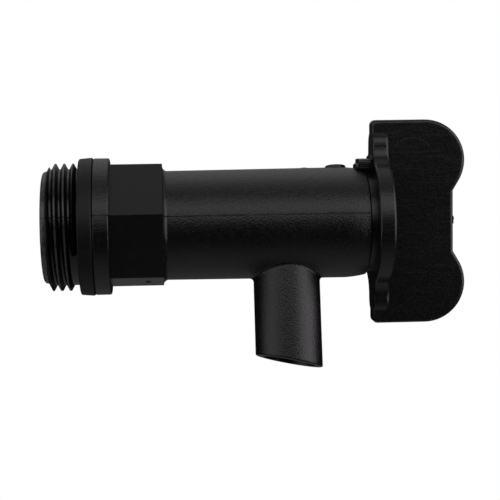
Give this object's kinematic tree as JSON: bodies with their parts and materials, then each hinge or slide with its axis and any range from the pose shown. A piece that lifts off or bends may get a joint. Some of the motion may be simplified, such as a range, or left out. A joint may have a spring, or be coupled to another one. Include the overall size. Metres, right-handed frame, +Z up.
{
  "type": "drum tap",
  "caption": "Black plastic drum tap with a threaded spigot, sealing washer, hexagon, downward spout with a slanted end, and a hollow quarter-turn plug with a butterfly handle.",
  "frame": {"origin": "on the tap axis, in the plane where the sealing washer meets the drum", "axes": "+X along the tap axis from the drum to the handle, +Z up, the spout points along -Z"},
  "size_m": [0.0881, 0.0286, 0.0515],
  "materials": {
    "body_plastic": "fine matte moulded grain",
    "handle_plastic": "satin, finely scratched",
    "washer_rubber": "dull moulded rubber",
    "o_ring_rubber": "smooth moulded rubber"
  },
  "bodies": {
    "body": {"tap_body": "body_plastic", "sealing_washer": "washer_rubber"},
    "handle": {"plug_handle": "handle_plastic", "stem_o_ring": "o_ring_rubber", "inner_o_ring": "o_ring_rubber"}
  },
  "joints": [
    {"name": "handle_turn", "type": "hinge", "parent": "body", "child": "handle", "pos_m": [0.05929, 0, 0], "axis": [1, 0, 0], "range_deg": [-13, 77]}
  ]
}
